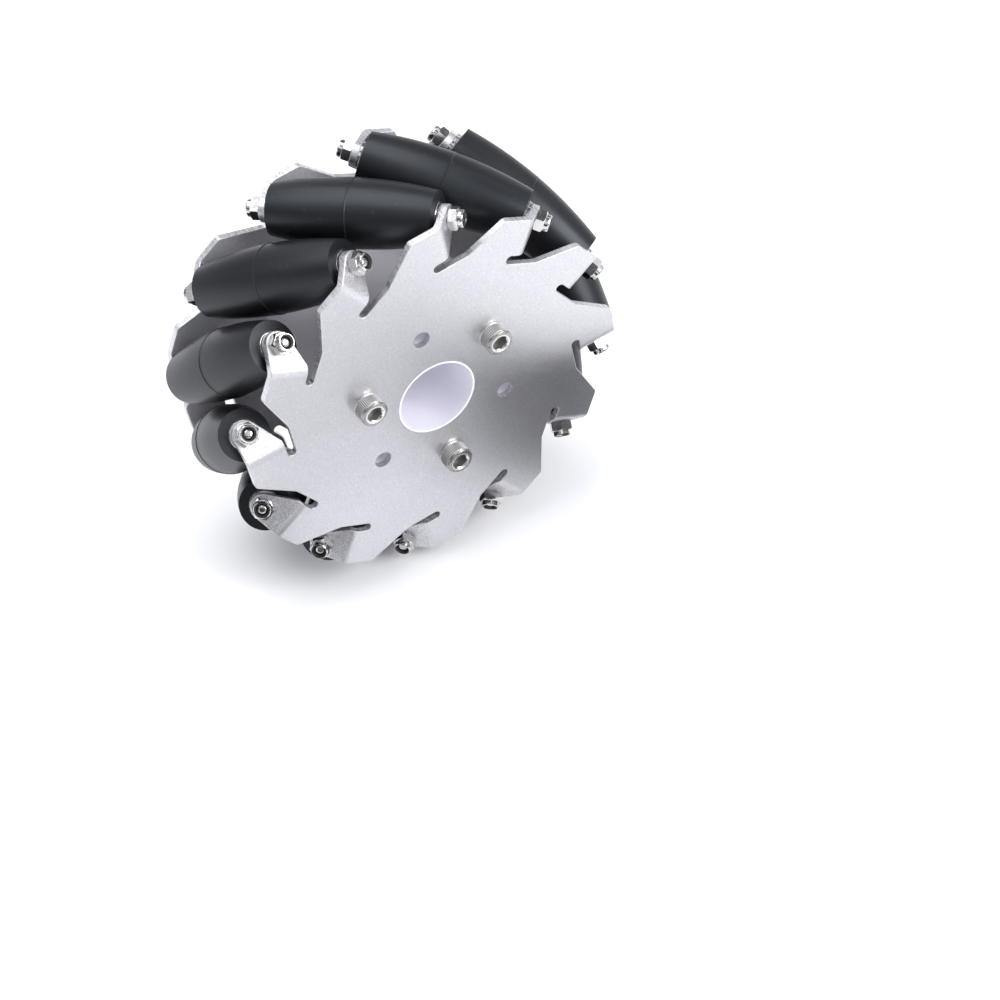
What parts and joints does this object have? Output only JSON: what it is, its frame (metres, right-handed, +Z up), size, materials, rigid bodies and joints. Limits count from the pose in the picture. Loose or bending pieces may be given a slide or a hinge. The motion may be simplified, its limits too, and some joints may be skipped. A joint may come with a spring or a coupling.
{
  "type": "mecanum wheel",
  "caption": "Omnidirectional wheel: barrel-shaped rubber rollers spin freely at 45 degrees between the folded ears of two sheet-metal side plates bolted to a moulded hub.",
  "frame": {"origin": "centre of the hub bore, midway between the side plates", "axes": "+Y along the wheel's axis, from the front plate with the screw heads to the back plate; +Z up when the wheel stands on its rollers"},
  "size_m": [0.1516, 0.0761, 0.1516],
  "materials": {
    "plate_aluminium": "bead-blasted sheet, satin with fine sparkle",
    "hub_nylon": "white moulded nylon, faint gloss",
    "screw_steel": "nickel-plated steel, knurled head",
    "nut_plating": "bright plated steel",
    "lock_ring_nylon": "dark nylon ring",
    "axle_steel": "bright plated stud",
    "roller_rubber": "smooth moulded rubber, soft sheen",
    "roller_core_plastic": "dark moulded plastic",
    "bush_steel": "turned steel flange"
  },
  "bodies": {
    "wheel_frame": {"front_plate": "plate_aluminium", "back_plate": "plate_aluminium", "hub_spacer": "hub_nylon", "hub_screws": "screw_steel", "hub_washers": "screw_steel", "hub_nuts": "screw_steel", "front_axle_nuts": "nut_plating", "back_axle_nuts": "nut_plating", "nut_lock_rings": "lock_ring_nylon", "thrust_washers": "nut_plating", "roller_axle_01": "axle_steel", "roller_axle_02": "axle_steel", "roller_axle_03": "axle_steel", "roller_axle_04": "axle_steel", "roller_axle_05": "axle_steel", "roller_axle_06": "axle_steel", "roller_axle_07": "axle_steel", "roller_axle_08": "axle_steel", "roller_axle_09": "axle_steel", "roller_axle_10": "axle_steel", "roller_axle_11": "axle_steel", "roller_axle_12": "axle_steel"},
    "roller_01": {"roller_01_tyre": "roller_rubber", "roller_01_core": "roller_core_plastic", "roller_01_bushes": "bush_steel"},
    "roller_02": {"roller_02_tyre": "roller_rubber", "roller_02_core": "roller_core_plastic", "roller_02_bushes": "bush_steel"},
    "roller_03": {"roller_03_tyre": "roller_rubber", "roller_03_core": "roller_core_plastic", "roller_03_bushes": "bush_steel"},
    "roller_04": {"roller_04_tyre": "roller_rubber", "roller_04_core": "roller_core_plastic", "roller_04_bushes": "bush_steel"},
    "roller_05": {"roller_05_tyre": "roller_rubber", "roller_05_core": "roller_core_plastic", "roller_05_bushes": "bush_steel"},
    "roller_06": {"roller_06_tyre": "roller_rubber", "roller_06_core": "roller_core_plastic", "roller_06_bushes": "bush_steel"},
    "roller_07": {"roller_07_tyre": "roller_rubber", "roller_07_core": "roller_core_plastic", "roller_07_bushes": "bush_steel"},
    "roller_08": {"roller_08_tyre": "roller_rubber", "roller_08_core": "roller_core_plastic", "roller_08_bushes": "bush_steel"},
    "roller_09": {"roller_09_tyre": "roller_rubber", "roller_09_core": "roller_core_plastic", "roller_09_bushes": "bush_steel"},
    "roller_10": {"roller_10_tyre": "roller_rubber", "roller_10_core": "roller_core_plastic", "roller_10_bushes": "bush_steel"},
    "roller_11": {"roller_11_tyre": "roller_rubber", "roller_11_core": "roller_core_plastic", "roller_11_bushes": "bush_steel"},
    "roller_12": {"roller_12_tyre": "roller_rubber", "roller_12_core": "roller_core_plastic", "roller_12_bushes": "bush_steel"}
  },
  "joints": [
    {"name": "roller_01_spin", "type": "hinge", "parent": "wheel_frame", "child": "roller_01", "pos_m": [0.06301, 0, 0.01229], "axis": [0.1354, -0.7071, -0.694], "continuous": true},
    {"name": "roller_02_spin", "type": "hinge", "parent": "wheel_frame", "child": "roller_02", "pos_m": [0.04842, 0, 0.04215], "axis": [0.4643, -0.7071, -0.5333], "continuous": true},
    {"name": "roller_03_spin", "type": "hinge", "parent": "wheel_frame", "child": "roller_03", "pos_m": [0.02086, 0, 0.06072], "axis": [0.6687, -0.7071, -0.2297], "continuous": true},
    {"name": "roller_04_spin", "type": "hinge", "parent": "wheel_frame", "child": "roller_04", "pos_m": [-0.01229, 0, 0.06301], "axis": [0.694, -0.7071, 0.1354], "continuous": true},
    {"name": "roller_05_spin", "type": "hinge", "parent": "wheel_frame", "child": "roller_05", "pos_m": [-0.04215, 0, 0.04842], "axis": [0.5333, -0.7071, 0.4643], "continuous": true},
    {"name": "roller_06_spin", "type": "hinge", "parent": "wheel_frame", "child": "roller_06", "pos_m": [-0.06072, 0, 0.02086], "axis": [0.2297, -0.7071, 0.6687], "continuous": true},
    {"name": "roller_07_spin", "type": "hinge", "parent": "wheel_frame", "child": "roller_07", "pos_m": [-0.06301, 0, -0.01229], "axis": [-0.1354, -0.7071, 0.694], "continuous": true},
    {"name": "roller_08_spin", "type": "hinge", "parent": "wheel_frame", "child": "roller_08", "pos_m": [-0.04842, 0, -0.04215], "axis": [-0.4643, -0.7071, 0.5333], "continuous": true},
    {"name": "roller_09_spin", "type": "hinge", "parent": "wheel_frame", "child": "roller_09", "pos_m": [-0.02086, 0, -0.06072], "axis": [-0.6687, -0.7071, 0.2297], "continuous": true},
    {"name": "roller_10_spin", "type": "hinge", "parent": "wheel_frame", "child": "roller_10", "pos_m": [0.01229, 0, -0.06301], "axis": [-0.694, -0.7071, -0.1354], "continuous": true},
    {"name": "roller_11_spin", "type": "hinge", "parent": "wheel_frame", "child": "roller_11", "pos_m": [0.04215, 0, -0.04842], "axis": [-0.5333, -0.7071, -0.4643], "continuous": true},
    {"name": "roller_12_spin", "type": "hinge", "parent": "wheel_frame", "child": "roller_12", "pos_m": [0.06072, 0, -0.02086], "axis": [-0.2297, -0.7071, -0.6687], "continuous": true}
  ]
}
